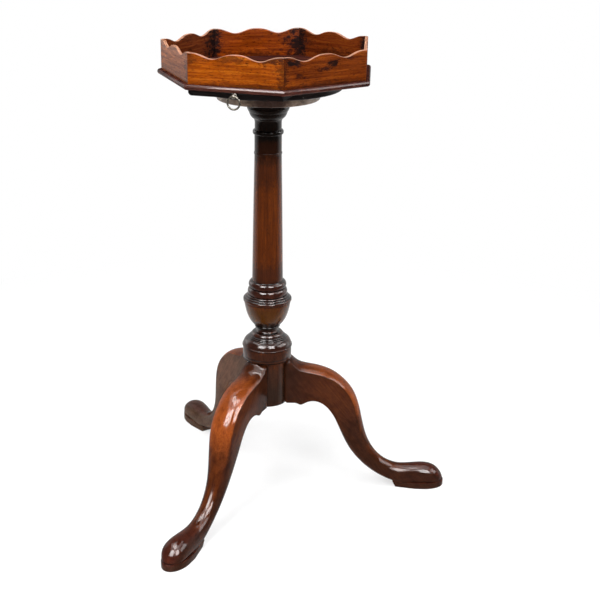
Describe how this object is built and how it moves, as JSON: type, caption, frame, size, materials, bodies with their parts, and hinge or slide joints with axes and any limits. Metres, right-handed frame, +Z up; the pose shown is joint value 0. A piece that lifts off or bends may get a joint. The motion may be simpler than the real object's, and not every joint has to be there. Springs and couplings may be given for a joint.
{
  "type": "kettle stand",
  "caption": "Small tea table with a many-sided tray, scalloped gallery, pull-out slide, turned column and three cabriole legs.",
  "frame": {"origin": "on the floor at the middle of the footprint's bounding box; the column's axis stands 56 mm towards -X of it", "axes": "+Z up the column, +X towards the foot of the right leg, the slide draws out towards the front, 18 degrees to the left of -Y"},
  "size_m": [0.3918, 0.4394, 0.6225],
  "materials": {
    "polished_mahogany": "old polish, glossy",
    "gallery_mahogany": "old polish, satin to glossy",
    "dark_mahogany": "dark old polish, glossy",
    "underside_wood": "unfinished, dark with age",
    "old_brass": "worn, patinated",
    "black_iron": "dark, rough"
  },
  "bodies": {
    "stand": {"tray_board": "polished_mahogany", "gallery_panel_1": "gallery_mahogany", "gallery_panel_2": "gallery_mahogany", "gallery_panel_3": "gallery_mahogany", "gallery_panel_4": "gallery_mahogany", "gallery_panel_5": "gallery_mahogany", "gallery_panel_6": "gallery_mahogany", "gallery_panel_7": "gallery_mahogany", "slide_block": "dark_mahogany", "column_block": "dark_mahogany", "column": "polished_mahogany", "column_wedge": "underside_wood", "leg_front": "polished_mahogany", "leg_right": "polished_mahogany", "leg_back": "polished_mahogany", "base_strap": "black_iron", "strap_screw_centre": "black_iron", "strap_screw_front": "black_iron", "strap_screw_right": "black_iron", "strap_screw_back": "black_iron", "board_screw_1": "black_iron", "board_screw_2": "black_iron", "board_screw_3": "black_iron", "board_screw_4": "black_iron", "block_screw_1": "black_iron", "block_screw_2": "black_iron", "block_screw_3": "black_iron", "block_screw_4": "black_iron", "edge_pin": "black_iron"},
    "slide": {"slide_board": "dark_mahogany", "slide_stop_peg": "underside_wood", "pull_post": "old_brass"},
    "ring": {"pull_ring": "old_brass"}
  },
  "joints": [
    {"name": "slide_draw", "type": "slide", "parent": "stand", "child": "slide", "axis": [-0.3131, -0.9497, 0], "range_m": [0, 0.1]},
    {"name": "ring_swing", "type": "hinge", "parent": "slide", "child": "ring", "pos_m": [-0.09598, -0.12108, 0.5765], "axis": [-0.9497, 0.3131, 0], "range_deg": [-30, 150]}
  ]
}
